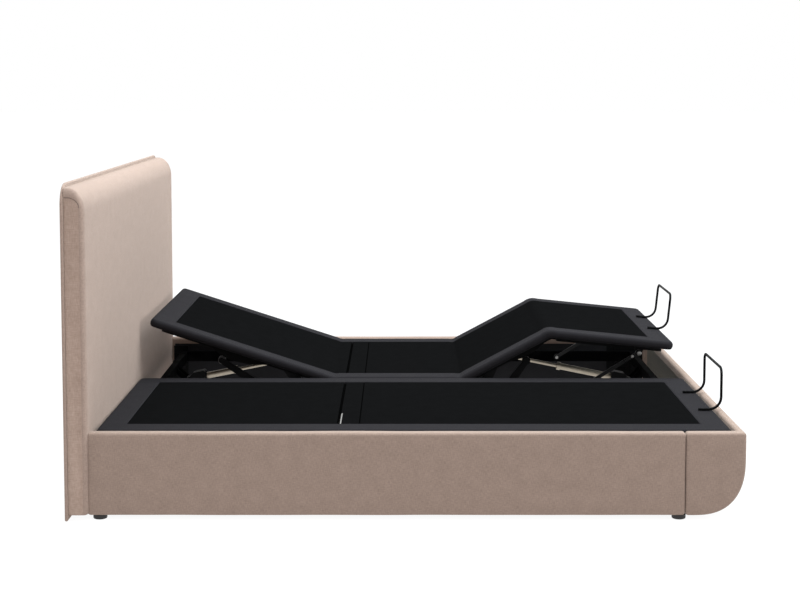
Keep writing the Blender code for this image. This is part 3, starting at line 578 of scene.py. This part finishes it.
def make_footboard():
    """One hollow shell over the footboard's front and ends, with thin sheets inside it: black linings
    on the ends, and on the front beige cloth darkened as painted shade.
    """
    low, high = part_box("near_footboard_side")
    start, top = low.x, high.z
    wall, end_inside, front_inside = 0.025, 0.912, 1.031
    outer = [(start, low.z)] + footboard_curve(0.0)[::-1] + [(high.x, top), (start, top)]
    inner = [(start - 0.1, top + 0.1), (start - 0.1, low.z - 0.1), (0.880, low.z - 0.1)]
    inner += footboard_curve(wall)[::-1] + [(front_inside, top + 0.1)]
    body = outline_solid(outer, low.y, -low.y)
    hollow = outline_solid(inner, -end_inside, end_inside)
    shell = cut_fine(rounded(body, 0.009, 4, cutter=hollow), SOFT_EDGE)
    soften(shell, 0.0008, 0.15, 21.0)
    # The shell wears the darker copy of the beige linen: painted shade
    piece = add_piece("footboard_cover", lay_cloth(smooth(shell)), [BEIGE_SHADED_COPY])
    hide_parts("footboard_front", "near_footboard_side", "far_footboard_side")
    # The front's inner face: a thin sheet of beige darkened as painted shade inside the footboard
    lining = block((front_inside - 0.0016, -0.908, 0.150), (front_inside - 0.0004, 0.908, top - 0.028))
    add_piece("footboard_inner_face", lay_cloth(lining), [FOOTBOARD_FRONT_SHADE])
    for name, side in (("near", -1), ("far", 1)):
        ends = sorted((side * (end_inside - 0.0014), side * (end_inside - 0.0003)))
        lining = block((start - 0.012, ends[0], low.z + 0.040), (1.010, ends[1], top - 0.024))
        add_piece(name + "_footboard_inner_face", lay_cloth(lining), [BLACK_LINING])


# ---- deck covers -----------------------------------------------------------------------
def turned(point, hinge, angle):
    """A point turned about a hinge's Y axis; a positive angle lifts what lies towards +X."""
    x, z = point[0] - hinge.x, point[1] - hinge.z
    return (hinge.x + x * cos(angle) - z * sin(angle), hinge.z + x * sin(angle) + z * cos(angle))


def ease(value, start, end):
    t = min(1.0, max(0.0, (value - start) / (end - start)))
    return t * t * (3 - 2 * t)


def at_rest(deck, x, z):
    """Where a point of the flat deck lies in the deck's pose at rest."""
    pose = REST[deck]
    place = (x, z)
    if x < BACK_HINGE.x + FOLD:
        share = 1 - ease(x, BACK_HINGE.x - FOLD, BACK_HINGE.x + FOLD)
        return turned(place, BACK_HINGE, -radians(pose["back"]) * share)
    share = ease(x, KNEE_HINGE.x - FOLD, KNEE_HINGE.x + FOLD)
    place = turned(place, KNEE_HINGE, -radians(pose["thigh"]) * KNEE_RATIO * share)
    share = ease(x, THIGH_HINGE.x - FOLD, THIGH_HINGE.x + FOLD)
    return turned(place, THIGH_HINGE, radians(pose["thigh"]) * share)


def thinned(values):
    """The values in order, without those that lie almost on the one before."""
    ordered = sorted(values)
    kept = [ordered[0]]
    for value in ordered[1:]:
        if value - kept[-1] > CLOSEST:
            kept.append(value)
    return kept


def stations(start, end, marks):
    """Places along the deck, closer together round the marks: a place, its reach and a step."""
    values = set(np.round(np.linspace(start, end, max(2, int((end - start) / 0.03))), 5))
    for mark, reach, step in marks:
        count = int(2 * reach / step)
        for i in range(count + 1):
            value = round(mark - reach + i * step, 5)
            if start <= value <= end:
                values.add(value)
    kept = thinned(values)
    kept[-1] = end
    return kept


def side_border(deck, y):
    """The width of a deck's border along its long sides; the near deck's near side is wider."""
    return WIDE_BORDER if deck == "near" and y < 0 else BORDER


def seam_depth(deck, x, y):
    """How far the cover's top is drawn down by its seams."""
    edge_x = min(x - DECK_HEAD, DECK_FOOT - x) - BORDER
    edge_y = DECK_HALF - abs(y) - side_border(deck, y)
    inside = min(edge_x, edge_y)
    depth = 0.0013 * max(0.0, 1 - abs(inside) / 0.0035)
    if inside > 0:
        depth += 0.0008
    if edge_y > -0.0005:
        depth += 0.0065 * max(0.0, 1 - (abs(x - WIDE_SEAM) / 0.0045) ** 4)
        depth += 0.0022 * max(0.0, 1 - abs(x - FINE_SEAM) / 0.0028)
    corner = abs(edge_x - edge_y)
    if inside < 0 and corner < 0.004 and edge_x < 0:
        depth += 0.0007 * (1 - corner / 0.004)
    return depth


def cloth_kind(deck, x, y):
    """The cloth on top at a place: 0 the border, 1 the centre, 2 the foot of a seam, darkened as
    painted shade.
    """
    if min(x - DECK_HEAD, DECK_FOOT - x) <= BORDER or DECK_HALF - abs(y) <= side_border(deck, y):
        return 0
    if abs(x - WIDE_SEAM) < 0.0040 or abs(x - FINE_SEAM) < 0.0016:
        return 2
    return 1


def cover_loop(deck):
    """A cover's outline across the deck, (y, z) with its top at 0, and how many points are on top."""
    limit = DECK_HALF - EDGE_ROUND
    values = {round(float(value), 5) for value in np.linspace(-limit, limit, 29)}
    for i in range(-8, 9):
        values.add(round(DECK_HALF - BORDER + i * 0.001, 5))
        values.add(round(side_border(deck, -1.0) - DECK_HALF + i * 0.001, 5))
    for i in range(1, 21):
        values.add(round(limit - i * 0.004, 5))
        values.add(round(i * 0.004 - limit, 5))
    kept = thinned(value for value in values if abs(value) <= limit)
    upper = arc((limit, -EDGE_ROUND), EDGE_ROUND, pi / 2, 0.0, 6)[1:]
    lower = arc((limit, EDGE_ROUND - DECK_THICK), EDGE_ROUND, 0.0, -pi / 2, 6)
    loop = [(y, 0.0) for y in kept] + upper + lower
    loop += [(y, -DECK_THICK) for y in np.linspace(limit, -limit, 10)[1:-1]]
    loop += [(-y, z) for y, z in reversed(lower)] + [(-y, z) for y, z in reversed(upper)]
    return loop, len(kept)


def drawn_in(gap, radius):
    """How far a rounded end of this radius lies inside its box, at this distance from its tip."""
    return radius - sqrt(radius ** 2 - max(0.0, radius - gap) ** 2)


def cover_mesh(deck, name, places):
    """A length of the deck's cover, in the deck's pose at rest, with a cloth map in metres."""
    loop, top_count = cover_loop(deck)
    count = len(loop)
    around = [0.0]
    for first, second in zip(loop, loop[1:]):
        around.append(around[-1] + hypot(second[0] - first[0], second[1] - first[1]))
    half_thick = DECK_THICK / 2
    bm = bmesh.new()
    uv = bm.loops.layers.uv.new("cloth")
    rings, cloth = [], {}
    for x in places:
        gap = min(x - DECK_HEAD, DECK_FOOT - x)
        squeeze = 1 - drawn_in(gap, EDGE_ROUND) / half_thick
        reach = (DECK_HALF - drawn_in(gap, CORNER_ROUND)) / DECK_HALF
        ring = []
        for i, (y, z) in enumerate(loop):
            height = z - seam_depth(deck, x, y) if i < top_count else z
            height = -half_thick + (height + half_thick) * squeeze
            place = at_rest(deck, x, DECK_TOP + height)
            vertex = bm.verts.new((place[0], REST[deck]["centre"] + y * reach, place[1]))
            cloth[vertex] = (x, around[i])
            ring.append(vertex)
        rings.append(ring)
    for first, second in zip(rings, rings[1:]):
        for i in range(count):
            j = (i + 1) % count
            face = bm.faces.new((first[i], second[i], second[j], first[j]))
            face.smooth = True
            if i < top_count - 1:
                x = (cloth[first[i]][0] + cloth[second[i]][0]) / 2
                face.material_index = cloth_kind(deck, x, (loop[i][0] + loop[j][0]) / 2)
    bm.faces.new(rings[0])
    bm.faces.new(rings[-1][::-1])
    bmesh.ops.recalc_face_normals(bm, faces=bm.faces)
    for face in bm.faces:
        for corner in face.loops:
            corner[uv].uv = cloth[corner.vert]
    mesh = bpy.data.meshes.new(name)
    bm.to_mesh(mesh)
    bm.free()
    mesh.set_sharp_from_angle(angle=radians(50))
    return mesh


def make_cover(deck, name, start, end, bodies, hinge, replaced):
    """A padded length of the deck: dark border, black centre, bent over one hinge."""
    marks = [(WIDE_SEAM, 0.008, 0.001), (FINE_SEAM, 0.005, 0.001), (hinge.x, FOLD + 0.004, 0.003),
             (DECK_HEAD + BORDER, 0.006, 0.001), (DECK_FOOT - BORDER, 0.006, 0.001),
             (DECK_HEAD, BORDER, 0.004), (DECK_FOOT, BORDER, 0.004)]
    mesh = cover_mesh(deck, name, stations(start, end, marks))
    piece = add_piece(name, mesh, [BORDER_CLOTH, CENTRE_CLOTH, SEAM_FOOT_SHADE], None)
    ends = [at_rest(deck, x, hinge.z) for x in (hinge.x - FOLD, hinge.x + FOLD)]
    ends = [(x, REST[deck]["centre"], z) for x, z in ends]
    if bodies[1].endswith("back"):
        ends.reverse()
    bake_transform(piece)
    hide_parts(*replaced)


def make_covers():
    """Three lengths of cover for each deck, which meet at the wide seam and along the thighs."""
    for deck in REST:
        make_cover(deck, deck + "_back_cover", DECK_HEAD, WIDE_SEAM, ("bed", deck + "_back"),
                   BACK_HINGE, [deck + "_back_board"])
        make_cover(deck, deck + "_thigh_cover", WIDE_SEAM, THIGH_SPLIT, ("bed", deck + "_thigh"),
                   THIGH_HINGE, [deck + "_seat_board", deck + "_thigh_board"])
        make_cover(deck, deck + "_foot_cover", THIGH_SPLIT, DECK_FOOT,
                   (deck + "_thigh", deck + "_foot"), KNEE_HINGE, [deck + "_foot_board"])


def make_zip():
    """The few teeth left in view at the near end of the near deck's wide seam."""
    count, pitch, first, stagger = 22, 0.0072, -0.802, 0.0008
    bm = bmesh.new()
    for i in range(count):
        place = Vector((WIDE_SEAM + 0.0075 + stagger * (i % 2), first + pitch * i, DECK_TOP))
        tooth = bmesh.ops.create_cube(bm, size=1.0)["verts"]
        for vert in tooth:
            taper = 0.7 if vert.co.z > 0 else 1.0
            size = Vector((0.0042 * taper, 0.0040 * taper, 0.0014))
            vert.co = place + Vector([size[k] * vert.co[k] for k in range(3)])
    mesh = bpy.data.meshes.new("near_zip_teeth")
    bm.to_mesh(mesh)
    bm.free()
    add_piece("near_zip_teeth", mesh, [BOLT_ZINC])


# ---- bolts on the foot links -----------------------------------------------------------
def bolt_head(place, across, facing, radius, tall):
    """A domed head on a plane across Y, with a shallow socket in its middle."""
    profile = [(1.0, 0.0), (1.0, 0.35), (0.93, 0.62), (0.78, 0.85), (0.58, 1.0), (0.42, 1.0),
               (0.38, 0.70)]
    sides = 24
    bm = bmesh.new()
    rings = []
    for share, rise in profile:
        y = across + facing * tall * rise
        rings.append([bm.verts.new((place[0] + radius * share * cos(2 * pi * i / sides), y,
                                    place[1] + radius * share * sin(2 * pi * i / sides)))
                      for i in range(sides)])
    for first, second in zip(rings, rings[1:]):
        for i in range(sides):
            j = (i + 1) % sides
            bm.faces.new((first[i], first[j], second[j], second[i]))
    bm.faces.new(rings[0])
    bm.faces.new(rings[-1])
    bmesh.ops.recalc_face_normals(bm, faces=bm.faces)
    mesh = bpy.data.meshes.new("bolt")
    bm.to_mesh(mesh)
    bm.free()
    return smooth(mesh)


def make_bolts():
    """A bolt at each end of every foot link, and a stud near its upper end."""
    for deck, pose in REST.items():
        angle = radians(LINK_RISE + pose["thigh"] * LINK_RATIO)
        tip = at_rest(deck, LINK_TIP[0], LINK_TIP[1])
        stud = (LINK_BASE[0] + LINK_STUD * cos(angle), LINK_BASE[1] + LINK_STUD * sin(angle))
        # Name, place, distance from the deck's centre, outwards or inwards, radius, height, body
        kinds = (("link_tip_bolt", tip, 0.3812, 1, 0.0086, 0.005, deck + "_foot"),
                 ("link_stud", stud, 0.3756, 1, 0.0058, 0.004, deck + "_foot_links"),
                 ("link_base_bolt", LINK_BASE, 0.3653, -1, 0.0064, 0.004, "bed"))
        for side, where in ((-1, "low"), (1, "high")):
            for name, place, out, facing, radius, tall, body in kinds:
                mesh = bolt_head(place, pose["centre"] + side * out, side * facing, radius, tall)
                add_piece(deck + "_" + where + "_" + name, mesh, [BOLT_ZINC], body)


# ---- materials of the CAD parts that stay ----------------------------------------------
def dress_nodes():
    """Materials for the CAD parts that are drawn as they are."""
    for name, node in NODES.items():
        if node.hide_render:
            continue
        if name.endswith("_foot") or name == "control_box":
            material = BLACK_PLASTIC
        elif "roller" in name:
            material = NYLON
        elif "push_rod" in name or "motor_tube" in name:
            material = ZINC
        elif "retainer" in name:
            material = BAR_STEEL
        elif "foot_link" in name:
            material = LINK_STEEL
        # The base frame and centre beam take the darkest copy of the paint: painted shade under the
        # bed
        elif "base_frame" in name or "centre_beam" in name:
            material = MATT_PAINT_AND_SHADE
        else:
            material = BLACK_PAINT_AND_SHADE
        node.data.materials.clear()
        node.data.materials.append(material)
        node.data.shade_smooth()
        node.data.set_sharp_from_angle(angle=radians(38))


make_camera()
make_studio()
make_headboard_panel()
make_headboard_pad()
make_rails()
make_footboard()
make_covers()
make_zip()
make_bolts()
dress_nodes()
